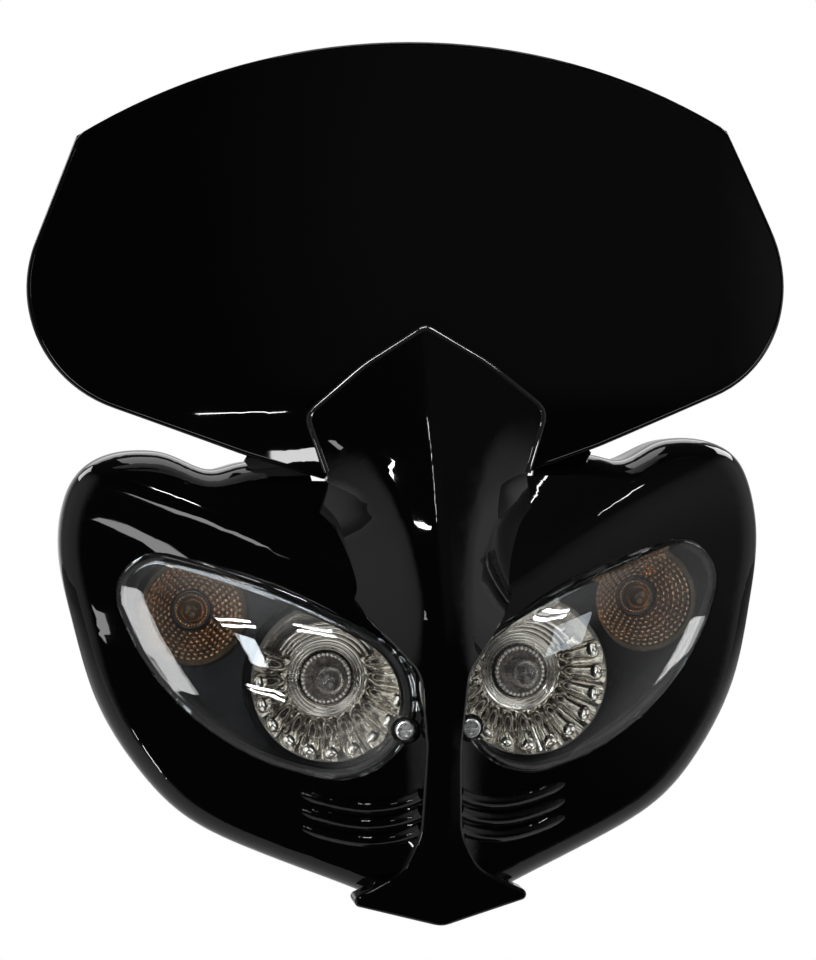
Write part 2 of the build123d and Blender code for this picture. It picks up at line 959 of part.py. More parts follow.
def headlight_bulb_base():
    flange_back = main_can_back() + bulb_flange_thickness
    back = flange_back + base_length
    outline = [
        (0, bulb_seat_y),
        (bulb_radius + clearance, bulb_seat_y),
        (bulb_radius + clearance, collar_front_y),
        (collar_radius, collar_front_y),
        (collar_radius, main_can_back()),
        (bulb_flange_radius, main_can_back()),
        (bulb_flange_radius, flange_back),
        (base_radius, flange_back),
        (base_radius, back),
        (0, back),
    ]
    base = turned(main_centre, outline)
    wide, thin = terminal_size
    for angle in terminal_angles:
        blade = Pos(0, terminal_circle) * Rectangle(wide, thin)
        base += prism(Pos(*main_centre) * Rot(0, 0, angle) * blade, back, back + terminal_length)
    return base


def bulb_boot():
    front = main_can_back()
    back = front + boot_length
    inner = bulb_flange_radius + clearance
    lip = base_radius + hole_play
    outline = [
        (inner, front),
        (boot_radius, front),
        (boot_radius, front + boot_flange),
        (boot_shoulder_radius, front + 2 * boot_flange),
        (lip + boot_lip_wall, back),
        (lip, back),
        (lip, back - boot_lip_length),
        (inner, front + boot_flange),
    ]
    return turned(main_centre, outline)


def indicator_bulb():
    return glass(indicator_centre, amber_radius, amber_tip_y, amber_seat_y)


def indicator_bulb_holder():
    front = indicator_floor_y + can_floor
    outline = [
        (0, amber_seat_y),
        (holder_radius, amber_seat_y),
        (holder_radius, front),
        (holder_flange_radius, front),
        (holder_flange_radius, front + holder_flange_thickness),
        (holder_rear_radius, front + holder_flange_thickness),
        (holder_rear_radius, front + holder_length),
        (0, front + holder_length),
    ]
    return turned(indicator_centre, outline)


# Fasteners


def screw(seat, radius, length, head_radius, head_height):
    """A screw whose pan head stands on a plane, with a cross recess."""
    top = seat.offset(head_height)
    head = pin(seat, head_radius, head_height)
    circles = head.edges().filter_by(GeomType.CIRCLE)
    edge = min(circles, key=lambda e: (e.arc_center - top.origin).length)
    head = fillet(edge, head_round * head_height)
    bar = Rectangle(recess_length * head_radius, recess_width * head_radius)
    cross = bar + Rot(0, 0, 90) * bar
    return head + pin(seat, radius, -length) - extrude(top * cross, -recess_depth * head_height)


def lens_screw():
    seat = Plane(origin=(lug_centre[0], lug_front(), lug_centre[1]), x_dir=(1, 0, 0), z_dir=(0, -1, 0))
    return screw(seat, lens_screw_radius, lens_screw_length, lens_screw_head_radius, lens_screw_head_height)


def housing_screw(place):
    seat = on_lens_plane(place, lens_seat_back()).offset(plate_thickness / math.hypot(1, lens_sweep))
    head = (housing_screw_head, housing_screw_head_height)
    return screw(seat, housing_screw_radius, housing_screw_length, *head)


def screen_screw(place):
    seat = screen_plane(place, screen_pad_back() + washer_thickness)
    return screw(seat, screen_screw_radius, screen_screw_length, screen_screw_head, screen_screw_head_height)


def screen_washer(place):
    seat = screen_plane(place, screen_pad_back())
    hole = pin(seat, screen_screw_radius + hole_play, washer_thickness)
    return pin(seat, washer_radius, washer_thickness) - hole


def mounting_insert(z):
    bore = rod((boss_half_x, z), insert_bore, -insert_length, 0)
    return rod((boss_half_x, z), insert_radius, -insert_length, 0) - bore


def group(parts):
    """Several separate solids in one node."""
    return Compound([single(part) for part in parts])


def both_sides(parts):
    return group(parts + [mirrored(part) for part in parts])


def nodes():
    """Every node of the part by its name."""
    heights = (tab_foot_z - spill, screen_top + spill)
    screen = sheet(screen_y, (-screen_half, screen_half), heights, screen_spacing)
    made = {"cowl_shell": cowl_shell(screen), "fly_screen": fly_screen(screen)}
    pairs = {
        "lens": lens(),
        "lens_seal": lens_seal(),
        "lamp_housing": lamp_housing(),
        "main_reflector": main_reflector(),
        "headlight_bulb": headlight_bulb(),
        "headlight_bulb_base": headlight_bulb_base(),
        "bulb_boot": bulb_boot(),
        "indicator_reflector": indicator_reflector(),
        "indicator_bulb": indicator_bulb(),
        "indicator_bulb_holder": indicator_bulb_holder(),
    }
    for name, right in pairs.items():
        made[f"{name}_right"] = right
        made[f"{name}_left"] = mirrored(right)
    made["lens_screws"] = both_sides([lens_screw()])
    made["housing_screws"] = both_sides([housing_screw(place) for place in housing_screw_places()])
    made["screen_screws"] = group([screen_screw(place) for place in screen_screw_places])
    made["screen_washers"] = group([screen_washer(place) for place in screen_screw_places])
    made["mounting_inserts"] = both_sides([mounting_insert(z) for z in (boss_half_z, -boss_half_z)])
    return made


if __name__ == "__main__":
    os.makedirs("parts", exist_ok=True)
    for name, part in nodes().items():
        shape = part if isinstance(part, Compound) and len(part.solids()) > 1 else single(part)
        export_step(shape, f"parts/{name}.step")
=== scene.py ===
import json
import math

import bmesh
import bpy
from mathutils import Matrix, Vector


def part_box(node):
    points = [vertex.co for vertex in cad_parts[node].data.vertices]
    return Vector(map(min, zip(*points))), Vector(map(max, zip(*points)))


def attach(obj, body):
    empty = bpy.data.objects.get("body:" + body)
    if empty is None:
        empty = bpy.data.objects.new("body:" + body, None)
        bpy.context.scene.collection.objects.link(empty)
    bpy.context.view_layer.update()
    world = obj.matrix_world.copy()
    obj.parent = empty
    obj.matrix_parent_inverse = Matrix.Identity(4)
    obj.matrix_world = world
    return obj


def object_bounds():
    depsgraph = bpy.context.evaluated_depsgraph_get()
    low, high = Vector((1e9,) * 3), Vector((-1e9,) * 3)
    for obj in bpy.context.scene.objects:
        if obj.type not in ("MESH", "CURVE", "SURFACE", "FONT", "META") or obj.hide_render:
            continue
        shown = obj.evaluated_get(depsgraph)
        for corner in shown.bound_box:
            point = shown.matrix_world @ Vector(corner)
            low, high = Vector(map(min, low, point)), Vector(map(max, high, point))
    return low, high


# Headlight cowl: looks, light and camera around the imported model, in metres.

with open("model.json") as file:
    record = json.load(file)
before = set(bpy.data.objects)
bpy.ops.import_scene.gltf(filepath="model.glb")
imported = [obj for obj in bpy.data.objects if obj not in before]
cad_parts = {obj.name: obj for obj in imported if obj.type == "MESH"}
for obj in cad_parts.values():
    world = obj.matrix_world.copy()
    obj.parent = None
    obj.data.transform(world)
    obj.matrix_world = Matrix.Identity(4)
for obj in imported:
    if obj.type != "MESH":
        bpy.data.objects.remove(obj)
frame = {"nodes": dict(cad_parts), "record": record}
cad_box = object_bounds()
nodes = frame["nodes"]
scene = bpy.context.scene
scene.view_settings.view_transform = "Standard"

forward = Vector((0, -1, 0))
full_turn = 2 * math.pi
quarter_turn = math.pi / 2
white = (1, 1, 1)


# Material helpers


def new_node(tree, kind, **sockets):
    """A new shader node with some of its input sockets set."""
    made = tree.nodes.new(kind)
    for key, value in sockets.items():
        made.inputs[key.replace("_", " ")].default_value = value
    return made


class Shader:
    """A node material with one principled shader."""

    def __init__(self, name):
        self.material = bpy.data.materials.new(name)
        self.material.use_nodes = True
        self.tree = self.material.node_tree
        self.shader = self.tree.nodes["Principled BSDF"]

    def node(self, kind, **sockets):
        return new_node(self.tree, kind, **sockets)

    def link(self, source, target):
        self.tree.links.new(source, target)

    def set(self, **sockets):
        for key, value in sockets.items():
            self.shader.inputs[key.replace("_", " ")].default_value = value

    def drive(self, socket, source):
        self.link(source, self.shader.inputs[socket])

    def noise(self, scale, detail=3.0, stretch=(1, 1, 1)):
        """A noise texture in the object's own frame, stretched."""
        where = self.node("ShaderNodeTexCoord")
        mapping = self.node("ShaderNodeMapping", Scale=stretch)
        grain = self.node("ShaderNodeTexNoise", Scale=scale, Detail=detail)
        self.link(where.outputs["Object"], mapping.inputs["Vector"])
        self.link(mapping.outputs["Vector"], grain.inputs["Vector"])
        return grain.outputs["Fac"]

    def spread(self, source, low, high, start=0.3, end=0.7):
        """A value between low and high that follows a texture."""
        span = self.node("ShaderNodeMapRange", From_Min=start, From_Max=end, To_Min=low, To_Max=high)
        self.link(source, span.inputs["Value"])
        return span.outputs["Result"]

    def colours(self, source, dark, light, start=0.3, end=0.7):
        """A colour between two that follows a texture."""
        band = self.node("ShaderNodeValToRGB")
        for stop, position, colour in zip(band.color_ramp.elements, (start, end), (dark, light)):
            stop.position = position
            stop.color = (*colour, 1)
        self.link(source, band.inputs["Fac"])
        return band.outputs["Color"]

    def bump(self, height, distance, strength):
        relief = self.node("ShaderNodeBump", Strength=strength, Distance=distance)
        self.link(height, relief.inputs["Height"])
        self.drive("Normal", relief.outputs["Normal"])


# Finishes


def gloss_black(name, dark, light, rough):
    """Moulded gloss plastic: a little cloudy, with rub marks and a faint flow texture."""
    look = Shader(name)
    look.drive("Base Color", look.colours(look.noise(scale=18, detail=4), dark, light))
    rub = look.noise(scale=70, detail=6, stretch=(1, 1, 0.25))
    look.drive("Roughness", look.spread(rub, *rough, start=0.45, end=0.8))
    look.bump(look.noise(scale=22, detail=2), distance=0.0012, strength=0.03)
    look.set(IOR=1.5)
    return look.material


def clear_plastic(name, colour, ior, rough):
    """Clear lens plastic or bulb glass, with a little dust and an uneven tint."""
    look = Shader(name)
    paler = tuple(min(1.0, 1.02 * channel) for channel in colour)
    look.drive("Base Color", look.colours(look.noise(scale=25, detail=2), colour, paler))
    dust = look.noise(scale=160, detail=5)
    look.drive("Roughness", look.spread(dust, *rough, start=0.55, end=0.85))
    look.set(Transmission_Weight=1.0, IOR=ior)
    return look.material


def bright_metal(name, dark, light, rough):
    """Metallised plastic with a thin haze."""
    look = Shader(name)
    look.drive("Base Color", look.colours(look.noise(scale=60, detail=4), dark, light))
    look.drive("Roughness", look.spread(look.noise(scale=140, detail=5), *rough))
    look.set(Metallic=1.0)
    return look.material


def satin(name, dark, light, rough, grain, depth, gloss=0.5):
    """Fine-grained plastic or rubber."""
    look = Shader(name)
    look.drive("Base Color", look.colours(look.noise(scale=40, detail=4), dark, light))
    look.drive("Roughness", look.spread(look.noise(scale=90, detail=4), *rough))
    look.bump(look.noise(scale=grain, detail=2), distance=depth, strength=0.5)
    look.set(Specular_IOR_Level=gloss)
    return look.material


def turned_metal(name, dark, light, rough):
    """Bare metal with fine tool marks."""
    look = Shader(name)
    look.drive("Base Color", look.colours(look.noise(scale=220, detail=4), dark, light))
    marks = look.noise(scale=500, detail=3, stretch=(1, 0.1, 1))
    look.drive("Roughness", look.spread(marks, *rough))
    look.bump(look.noise(scale=900, detail=2), distance=0.00005, strength=0.4)
    look.set(Metallic=1.0)
    return look.material


finishes = {
    "cowl": gloss_black(
        "cowl_black", dark=(0.003, 0.003, 0.0034), light=(0.005, 0.005, 0.0055), rough=(0.02, 0.06)
    ),
    "screen": gloss_black(
        "screen_black", dark=(0.0028, 0.0028, 0.003), light=(0.005, 0.0045, 0.005), rough=(0.02, 0.07)
    ),
    "lens": clear_plastic("clear_lens", colour=(0.97, 0.98, 0.98), ior=1.5, rough=(0.0, 0.015)),
    "clear_glass": clear_plastic("bulb_glass", colour=(0.97, 0.97, 0.97), ior=1.47, rough=(0.0, 0.02)),
    "amber_glass": clear_plastic("amber_glass", colour=(0.98, 0.66, 0.32), ior=1.47, rough=(0.02, 0.08)),
    "reflector": bright_metal(
        "bright_bowl", dark=(0.7, 0.67, 0.61), light=(0.86, 0.84, 0.79), rough=(0.04, 0.09)
    ),
    # Painted amber reflection: the chrome indicator bowls are coloured dark brown to stand in for the amber
    # bulb's light on them.
    "pebbled_painted_amber": bright_metal(
        "bowl_painted_amber_reflection", dark=(0.26, 0.19, 0.13), light=(0.46, 0.36, 0.26), rough=(0.04, 0.12)
    ),
    "bead": bright_metal("bead_metal", dark=(0.84, 0.82, 0.78), light=(0.94, 0.92, 0.9), rough=(0.2, 0.3)),
    # Painted amber reflection: the indicator's bright bead rings are coloured amber to stand in for the
    # amber bulb's light on them.
    "bead_painted_amber": bright_metal(
        "bead_metal_painted_amber", dark=(0.6, 0.34, 0.12), light=(0.8, 0.5, 0.2), rough=(0.08, 0.2)
    ),
    "rubber": satin(
        "black_rubber",
        dark=(0.012, 0.012, 0.012),
        light=(0.025, 0.025, 0.024),
        rough=(0.6, 0.8),
        grain=600,
        depth=0.0002,
    ),
    "housing": satin(
        "lamp_black",
        dark=(0.003, 0.003, 0.0034),
        light=(0.006, 0.006, 0.0065),
        rough=(0.2, 0.3),
        grain=800,
        depth=0.00003,
        gloss=0.06,
    ),
    "holder": satin(
        "holder_plastic",
        dark=(0.03, 0.03, 0.032),
        light=(0.05, 0.05, 0.05),
        rough=(0.4, 0.55),
        grain=500,
        depth=0.0001,
    ),
    "black_screw": satin(
        "black_screw",
        dark=(0.015, 0.015, 0.016),
        light=(0.03, 0.03, 0.03),
        rough=(0.3, 0.5),
        grain=700,
        depth=0.0001,
    ),
    # Painted shade: the bulb bases are coloured dark brown, far darker than their bare metal, for the shade
    # inside the lamps.
    "bulb_metal": turned_metal(
        "bulb_metal", dark=(0.2, 0.18, 0.16), light=(0.34, 0.31, 0.28), rough=(0.15, 0.35)
    ),
    "bright_screw": turned_metal(
        "bright_screw", dark=(0.74, 0.74, 0.75), light=(0.88, 0.88, 0.88), rough=(0.22, 0.34)
    ),
    "zinc_screw": turned_metal(
        "zinc_screw", dark=(0.42, 0.42, 0.4), light=(0.6, 0.6, 0.57), rough=(0.25, 0.45)
    ),
    "filament": turned_metal(
        "filament_wire", dark=(0.25, 0.24, 0.23), light=(0.4, 0.39, 0.38), rough=(0.2, 0.35)
    ),
    "brass": turned_metal(
        "insert_brass", dark=(0.5, 0.34, 0.12), light=(0.65, 0.47, 0.2), rough=(0.2, 0.4)
    ),
}

for part in frame["record"]["subparts"]:
    node = part["node"]
    slots = nodes[node].data.materials
    slots.clear()
    # The indicator reflectors take the bowl finish with painted amber reflection in its colour.
    slots.append(finishes["pebbled_painted_amber" if node.startswith("indicator_reflector") else part["material_slot"]])


# Added details: where they sit. The sides are mirror images, so the right one gives the depths of both.


def middle_of(node):
    """The middle of a CAD node's box."""
    low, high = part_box(node)
    return (low + high) / 2


def front_of(node):
    """The Y of a CAD node's front."""
    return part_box(node)[0].y


collar_y = front_of("headlight_bulb_base_right")
holder_y = front_of("indicator_bulb_holder_right")
bulb_foot_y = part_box("headlight_bulb_right")[1].y
main_rim_y = front_of("main_reflector_right")
small_rim_y = front_of("indicator_reflector_right")

# Sections of the bowls from the middle out, each point as radius and Y
main_collar = Vector((0.0106, main_rim_y + 0.022))
main_neck = Vector((0.015, main_rim_y + 0.0205))
main_rim = Vector((0.0292, main_rim_y))
main_slant = (main_rim - main_neck).normalized()
small_neck = Vector((0.0079, small_rim_y + 0.014))
small_rim = Vector((0.0194, small_rim_y))

# Beads and pebbles. The margin is from the bowl's neck to the first ring, in steps from ring to ring.
ball_detail = 2
pebble_rings = 7
pebble_margin = 0.6
pebble_pitch = 0.0024
pebble_radius = 0.00115
pebble_height = 0.0006
pebble_tolerance = 0.0003

# Ridges: points round one, the share of its height that is sunk, and how blunt its ends are
ridge_points = 16
ridge_sunk_share = 0.4
ridge_end_power = 5

# Fingers: start, end and trim are shares of the cone's length, depth, width and height of half a flute.
flute_count = 20
flute_depth = 0.28
smooth_angle = math.radians(62)
finger_start = 0.05
finger_end = 0.94
finger_trim = 0.02
finger_rows = 18
finger_width = 0.9
finger_height = 0.62
finger_tolerance = 0.0007

# Fine steps, by their radius in the bowl
neck_steps = [0.0114, 0.0127, 0.014]
top_steps = [0.0166, 0.0184, 0.0202, 0.022]
top_step_reach = math.radians(58)
step_radius = 0.0006
step_rows = 60

# Filament
coil_turns = 9
coil_steps = 12
coil_length = 0.0042
coil_radius = 0.0005
coil_rise = 0.0135
post_gap = 0.0026
wire_radius = 0.00014

# Search for a wall's border, outward from a point in front of it
edge_search = (0.02, 0.2)
edge_halvings = 14
edge_look_from_y = -0.3


# Added details: how they are made

pieces = {}


def add_piece(name, data, finish):
    """A new piece that rides on the cowl and takes one of the finishes."""
    piece = bpy.data.objects.new(name, data)
    scene.collection.objects.link(piece)
    data.materials.append(finishes[finish])
    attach(piece, "root")
    pieces[name] = piece


def add_mesh(name, shape, finish):
    bmesh.ops.recalc_face_normals(shape, faces=shape.faces)
    for face in shape.faces:
        face.smooth = True
    mesh = bpy.data.meshes.new(name)
    shape.to_mesh(mesh)
    shape.free()
    add_piece(name, mesh, finish)


def add_wire(name, points, radius, finish, roundness, closed=False, capped=False):
    """A round wire from point to point."""
    curve = bpy.data.curves.new(name, "CURVE")
    curve.dimensions = "3D"
    curve.bevel_depth = radius
    curve.bevel_resolution = roundness
    curve.use_fill_caps = capped
    line = curve.splines.new("POLY")
    line.points.add(len(points) - 1)
    for knot, point in zip(line.points, points):
        knot.co = (*point, 1)
    line.use_cyclic_u = closed
    add_piece(name, curve, finish)


def outward(angle):
    """A direction across a lamp's axis: 0 points along X, a quarter turn points up."""
    return Vector((math.cos(angle), 0, math.sin(angle)))


def onward(angle):
    """The direction round a lamp's axis, clockwise as seen from the front."""
    return Vector((math.sin(angle), 0, -math.cos(angle)))


def on_circle(axis, angle, radius, y):
    """A point round a lamp's axis, which runs along Y."""
    return Vector((axis.x, y, axis.z)) + outward(angle) * radius


def bead_ring(name, axis, y, ring_radius, bead_radius, count, finish):
    """Small balls in a ring round a bulb, half sunk in the face that carries them."""
    shape = bmesh.new()
    for i in range(count):
        place = Matrix.Translation(on_circle(axis, full_turn * i / count, ring_radius, y))
        bmesh.ops.create_icosphere(shape, subdivisions=ball_detail, radius=bead_radius, matrix=place)
    add_mesh(name, shape, finish)


def pebbles(name, bowl, axis):
    """Shallow domes in rings over a small bowl, only where the bowl really has a wall."""
    shape = bmesh.new()
    dome = Matrix.Diagonal((pebble_radius, pebble_radius, pebble_height, 1))
    for ring in range(pebble_rings):
        share = (ring + pebble_margin) / (pebble_rings + 1 - pebble_margin)
        radius, y = small_neck.lerp(small_rim, share)
        count = round(full_turn * radius / pebble_pitch)
        stagger = (ring % 2) / 2
        for i in range(count):
            spot = on_circle(axis, full_turn * (i + stagger) / count, radius, y)
            found, wall, normal, _ = bowl.closest_point_on_mesh(spot)
            if not found or (wall - spot).length > pebble_tolerance:
                continue
            turn = normal.to_track_quat("Z", "Y").to_matrix().to_4x4()
            place = Matrix.Translation(spot) @ turn @ dome
            bmesh.ops.create_icosphere(shape, subdivisions=ball_detail, radius=1, matrix=place)
    # The pebbles take the bowl finish with painted amber reflection in its colour.
    add_mesh(name, shape, "pebbled_painted_amber")


def skin(shape, rows):
    """A closed skin over rings of points. The first and the last row are one point."""
    rings = [[shape.verts.new(point) for point in row] for row in rows]
    count = len(rings[1])
    for i in range(count):
        j = (i + 1) % count
        shape.faces.new((rings[0][0], rings[1][i], rings[1][j]))
        shape.faces.new((rings[-1][0], rings[-2][j], rings[-2][i]))
        for low, high in zip(rings[1:-2], rings[2:-1]):
            shape.faces.new((low[i], high[i], high[j], low[j]))


def ridge(shape, path, widths, heights, normals, sides):
    """A rounded ridge along a path, sunk a little in what carries it."""
    rows = [[path[0]]]
    for spot, width, height, normal, side in list(zip(path, widths, heights, normals, sides))[1:-1]:
        row = []
        for k in range(ridge_points):
            angle = full_turn * k / ridge_points
            rise = math.sin(angle)
            if rise < 0:
                rise *= ridge_sunk_share
            row.append(spot + side * (width * math.cos(angle)) + normal * (height * rise))
        rows.append(row)
    rows.append([path[-1]])
    skin(shape, rows)


def rounding(share):
    """Nearly 1 along a ridge, falling round to 0 at its ends."""
    return math.sqrt(max(0.0, 1 - abs(2 * share - 1) ** ridge_end_power))


def main_normal(angle):
    """The normal of the main bowl's cone, on its bright side."""
    return outward(angle) * main_slant.y + forward * main_slant.x


def flute_spot(axis, angle, share):
    """A point on the bottom of a flute of a main bowl, and half the flute's width there."""
    radius, y = main_neck.lerp(main_rim, share)
    half_width = radius * math.pi / flute_count
    return on_circle(axis, angle, radius, y) - main_normal(angle) * (flute_depth * half_width), half_width


def finger(shape, bowl, axis, angle):
    """A round-ended finger in one flute, cut short where the bowl's wall ends."""
    end = finger_end
    while end > finger_start:
        spot, _ = flute_spot(axis, angle, end)
        found, wall, _, _ = bowl.closest_point_on_mesh(spot)
        if found and (wall - spot).length < finger_tolerance:
            break
        end -= finger_trim
    path, widths, heights = [], [], []
    for k in range(finger_rows + 1):
        share = k / finger_rows
        spot, half_width = flute_spot(axis, angle, finger_start + (end - finger_start) * share)
        size = half_width * rounding(share)
        path.append(spot)
        widths.append(finger_width * size)
        heights.append(finger_height * size)
    ridge(shape, path, widths, heights, [main_normal(angle)] * len(path), [onward(angle)] * len(path))


def step(shape, axis, radius, reach):
    """A fine round step in a main bowl, which reaches as far to each side of the top."""
    start, end = (main_collar, main_neck) if radius < main_neck.x else (main_neck, main_rim)
    y = start.lerp(end, (radius - start.x) / (end.x - start.x)).y
    shares = [k / step_rows for k in range(step_rows + 1)]
    angles = [quarter_turn + reach * (1 - 2 * share) for share in shares]
    path = [on_circle(axis, angle, radius, y) for angle in angles]
    sizes = [step_radius * rounding(share) for share in shares]
    ridge(shape, path, sizes, sizes, [forward] * len(path), [outward(angle) for angle in angles])


def fingers(name, bowl, axis):
    """Fingers in the flutes of a main bowl, with fine steps round its neck and in its smooth top."""
    shape = bmesh.new()
    for i in range(flute_count):
        turn = full_turn * i / flute_count
        if min(turn, full_turn - turn) > smooth_angle:
            finger(shape, bowl, axis, quarter_turn - turn)
    for radius in neck_steps:
        step(shape, axis, radius, math.pi)
    for radius in top_steps:
        step(shape, axis, radius, top_step_reach)
    add_mesh(name, shape, "reflector")


def filament(name, axis):
    """A coiled wire between two posts inside a headlight bulb."""
    post = Vector((post_gap, 0, 0))
    foot = Vector((axis.x, bulb_foot_y, axis.z))
    points = [foot - post]
    steps = coil_turns * coil_steps
    for i in range(steps + 1):
        angle = full_turn * i / coil_steps
        x = coil_length * (i / steps - 0.5)
        y = coil_radius * math.cos(angle) - coil_rise
        points.append(foot + Vector((x, y, coil_radius * math.sin(angle))))
    points.append(foot + post)
    add_wire(name, points, wire_radius, "filament", roundness=1)


def rolled_edge(name, body, height, back, radius, inset, sink, finish, steps, start=0.0, sweep=full_turn):
    """The rounded edge of a thin wall: a fine bead along the wall's own border as seen from the front.

    Height is that of the point that the border is looked for from. What lies behind back isn't the wall.
    """
    points = []
    middle = Vector((0, edge_look_from_y, height))
    for k in range(steps):
        way = outward(start + sweep * k / steps)
        near, far = edge_search
        for _ in range(edge_halvings):
            half = (near + far) / 2
            found, place, _, _ = body.ray_cast(middle + way * half, -forward)
            if found and place.y < back:
                near = half
            else:
                far = half
        _, place, _, _ = body.ray_cast(middle + way * (near - inset), -forward)
        points.append(place - forward * sink)
    add_wire(name, points, radius, finish, roundness=3, closed=sweep == full_turn, capped=True)


for side in ("right", "left"):
    main_axis = middle_of(f"headlight_bulb_{side}")
    small_axis = middle_of(f"indicator_bulb_{side}")
    bead_ring(
        f"headlight_beads_{side}",
        main_axis,
        collar_y,
        ring_radius=0.0091,
        bead_radius=0.0008,
        count=34,
        finish="bead",
    )
    bead_ring(
        f"indicator_beads_{side}",
        small_axis,
        holder_y,
        ring_radius=0.0061,
        bead_radius=0.00055,
        count=32,
        # This finish has painted amber reflection in its colour.
        finish="bead_painted_amber",
    )
    pebbles(f"indicator_pebbles_{side}", nodes[f"indicator_reflector_{side}"], small_axis)
    fingers(f"reflector_fingers_{side}", nodes[f"main_reflector_{side}"], main_axis)
    filament(f"headlight_filament_{side}", main_axis)
rolled_edge(
    "tab_edge",
    nodes["cowl_shell"],
    height=0.1,
    back=-0.081,
    radius=0.0013,
    inset=0.0004,
    sink=0.0003,
    finish="cowl",
    steps=90,
    start=math.radians(-31),
    sweep=math.radians(242),
)
rolled_edge(
    "screen_edge",
    nodes["fly_screen"],
    height=0.165,
    back=0.0,
    radius=0.0009,
    inset=0.0011,
    sink=0.0004,
    finish="screen",
    steps=240,
)


# Lamps of the studio. Some light only one group of pieces, so that their reflections sit where they should.


lamp_target = Vector((0, -0.08, 0.05))
lamp_distance = 2.2
tube_gap = 0.075
tube_width = 0.03
tube_power = 3.2
cool = (0.85, 0.93, 1.0)


def direction(azimuth, height):
    """A direction from the cowl, in degrees. Azimuth 0 is straight in front and 90 is to the right."""
    turn, rise = math.radians(azimuth), math.radians(height)
    return Vector((math.sin(turn) * math.cos(rise), -math.cos(turn) * math.cos(rise), math.sin(rise)))


def lit_group(name, members):
    """What a lamp is kept to."""
    group = bpy.data.collections.new(name)
    for member in members:
        group.objects.link(member)
    return group


def area(name, azimuth, height, size, power, group=None, colour=white, tilt=0.0, shift=0.0):
    """A panel that faces the cowl, placed by its direction."""
    data = bpy.data.lights.new(name, "AREA")
    data.shape = "RECTANGLE"
    data.size, data.size_y = size
    data.energy = power
    data.color = colour
    lamp = bpy.data.objects.new(name, data)
    scene.collection.objects.link(lamp)
    way = direction(azimuth, height)
    roll = Matrix.Rotation(math.radians(tilt), 3, "Z").to_quaternion()
    aim = (-way).to_track_quat("-Z", "Y") @ roll
    lamp.rotation_mode = "QUATERNION"
    lamp.rotation_quaternion = aim
    lamp.location = lamp_target + way * lamp_distance + aim @ Vector((0, shift, 0))
    if group is not None:
        lamp.light_linking.receiver_collection = group


def tube_pair(name, azimuth, height, tilt, length):
    """A lamp fitting with two tubes side by side."""
    size = (length, tube_width)
    for tube, shift in (("a", tube_gap / 2), ("b", -tube_gap / 2)):
        area(f"{name}_{tube}", azimuth, height, size, tube_power, lamp_units, tilt=tilt, shift=shift)


unit_parts = [nodes[n] for n in nodes if not n.startswith(("cowl", "fly_screen", "lamp_housing"))]
unit_parts += [pieces[n] for n in pieces if not n.endswith("_edge")]
lamp_units = lit_group("lit_lamp_units", unit_parts)
shell = lit_group("lit_shell", [nodes["cowl_shell"], pieces["tab_edge"]])
screen = lit_group("lit_screen", [nodes["fly_screen"]])
edge = lit_group("lit_edge", [pieces["tab_edge"]])
screen_rim = lit_group("lit_screen_rim", [pieces["screen_edge"]])
screws = lit_group("lit_screws", [nodes["lens_screws"]])

area("top_panel", azimuth=180, height=76, size=(1.2, 1.0), power=8)
area("back_panel", azimuth=180, height=40, size=(2.0, 1.0), power=13)
area("back_panel_left", azimuth=-125, height=35, size=(0.8, 0.8), power=12)
area("back_panel_right", azimuth=125, height=35, size=(0.8, 0.8), power=12)
tube_pair("tubes_left", azimuth=-39, height=6.5, tilt=24, length=0.38)
tube_pair("tubes_middle", azimuth=-17, height=14, tilt=16, length=0.44)
tube_pair("tubes_low", azimuth=-40.5, height=-18.5, tilt=-8, length=0.32)
tube_pair("tubes_right", azimuth=33, height=16, tilt=-22, length=0.38)
area("window_left", azimuth=-38, height=-3, size=(0.16, 0.4), power=2.4, group=lamp_units, colour=cool)
area("window_right", azimuth=40, height=5, size=(0.4, 0.42), power=1.8, group=lamp_units, colour=cool)
area("panel_left", azimuth=-63, height=-9, size=(0.2, 1.2), power=4.5, group=lamp_units)
area("panel_right", azimuth=80, height=-19, size=(0.2, 0.9), power=3, group=lamp_units)
area("keel_window", azimuth=-36, height=35.5, size=(0.1, 0.07), power=1.2, group=shell)
area("wing_window", azimuth=-44, height=2, size=(0.2, 0.16), power=0.55, group=shell)
area("rim_strip", azimuth=-60, height=-25, size=(0.5, 0.04), power=2.0, group=shell, tilt=60)
area("keel_strip", azimuth=-11, height=42, size=(0.14, 0.02), power=0.6, group=shell, tilt=75)
area("crest_strip_right", azimuth=49, height=43, size=(0.3, 0.02), power=0.6, group=shell, tilt=60)
area("edge_left", azimuth=-33, height=37, size=(0.6, 0.6), power=50, group=edge)
area("edge_right", azimuth=37, height=40, size=(0.6, 0.6), power=50, group=edge)
area("edge_top", azimuth=0, height=58, size=(0.9, 0.5), power=50, group=edge)
area("edge_side_right", azimuth=43, height=-12, size=(0.5, 0.5), power=40, group=edge)
area("edge_side_left", azimuth=-43, height=-12, size=(0.3, 0.3), power=4, group=edge)
area("screw_panel", azimuth=-15, height=25, size=(1.0, 0.7), power=40, group=screws)
area("screen_rim_top", azimuth=15, height=55, size=(1.4, 0.6), power=12, group=screen_rim)
area("screen_rim_side", azimuth=70, height=10, size=(0.5, 1.0), power=5, group=screen_rim)
area("screen_streak", azimuth=-16.5, height=-10.6, size=(0.44, 0.018), power=1.4, group=screen, tilt=-3)
area("screen_glint", azimuth=-9, height=-43.5, size=(0.3, 0.3), power=4.5, group=screen)


# Room: soft patches of light, more of them for what is seen through glass, and white paper behind the cowl


room_level = 0.015
inside_level = 0.05
world = bpy.data.worlds.new("studio")
scene.world = world
world.use_nodes = True
sky = world.node_tree
sky.nodes.clear()
sky_place = new_node(sky, "ShaderNodeTexCoord")
ray_kind = new_node(sky, "ShaderNodeLightPath")


